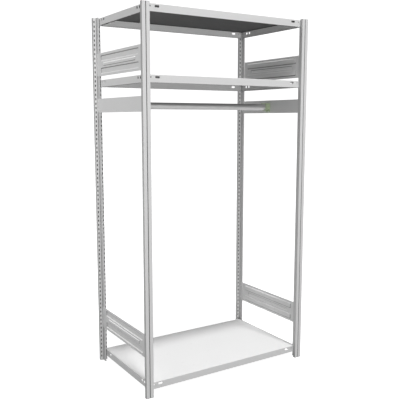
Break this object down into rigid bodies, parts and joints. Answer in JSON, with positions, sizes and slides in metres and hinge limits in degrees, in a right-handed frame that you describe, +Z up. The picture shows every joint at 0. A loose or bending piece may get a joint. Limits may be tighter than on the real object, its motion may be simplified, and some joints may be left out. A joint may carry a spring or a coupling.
{
  "type": "open frame wardrobe",
  "caption": "Open steel frame wardrobe with slotted posts, tray shelves, pressed side panels and a round hanging rail that lies in plastic sockets.",
  "frame": {"origin": "centre of the floor area at floor level", "axes": "+Z up, -Y is the open front, +X to the right seen from the front"},
  "size_m": [1.055, 0.62, 2],
  "materials": {
    "powder_coat": "satin",
    "rail_steel": "satin",
    "zinc_steel": "satin",
    "socket_plastic": "matt",
    "foot_plastic": "matt"
  },
  "bodies": {
    "frame": {"post_foot_front_left": "foot_plastic", "post_foot_front_right": "foot_plastic", "post_foot_rear_left": "foot_plastic", "post_foot_rear_right": "foot_plastic", "post_front_left": "powder_coat", "post_front_right": "powder_coat", "post_rear_left": "powder_coat", "post_rear_right": "powder_coat", "rail_carrier_left": "powder_coat", "rail_carrier_right": "powder_coat", "rail_carrier_rivets_left": "powder_coat", "rail_carrier_rivets_right": "powder_coat", "rail_socket_left": "socket_plastic", "rail_socket_right": "socket_plastic", "shelf_clip_bottom_front_left": "zinc_steel", "shelf_clip_bottom_front_right": "zinc_steel", "shelf_clip_bottom_rear_left": "zinc_steel", "shelf_clip_bottom_rear_right": "zinc_steel", "shelf_clip_middle_front_left": "zinc_steel", "shelf_clip_middle_front_right": "zinc_steel", "shelf_clip_middle_rear_left": "zinc_steel", "shelf_clip_middle_rear_right": "zinc_steel", "shelf_clip_top_front_left": "zinc_steel", "shelf_clip_top_front_right": "zinc_steel", "shelf_clip_top_rear_left": "zinc_steel", "shelf_clip_top_rear_right": "zinc_steel", "side_panel_lower_left": "powder_coat", "side_panel_lower_right": "powder_coat", "side_panel_lower_rivets_left": "powder_coat", "side_panel_lower_rivets_right": "powder_coat", "side_panel_upper_left": "powder_coat", "side_panel_upper_right": "powder_coat", "side_panel_upper_rivets_left": "powder_coat", "side_panel_upper_rivets_right": "powder_coat", "socket_screws_left": "zinc_steel", "socket_screws_right": "zinc_steel"},
    "shelf_top": {"shelf_top": "powder_coat"},
    "shelf_middle": {"shelf_middle": "powder_coat"},
    "shelf_bottom": {"shelf_bottom": "powder_coat"},
    "rail": {"hanging_rail": "rail_steel"}
  },
  "joints": [
    {"name": "shelf_top_lift", "type": "slide", "parent": "frame", "child": "shelf_top", "axis": [0, 0, 1], "range_m": [0, 0.03]},
    {"name": "shelf_middle_lift", "type": "slide", "parent": "frame", "child": "shelf_middle", "axis": [0, 0, 1], "range_m": [0, 0.03]},
    {"name": "shelf_bottom_lift", "type": "slide", "parent": "frame", "child": "shelf_bottom", "axis": [0, 0, 1], "range_m": [0, 0.03]},
    {"name": "rail_lift", "type": "slide", "parent": "frame", "child": "rail", "axis": [0, 0, 1], "range_m": [0, 0.06]}
  ]
}
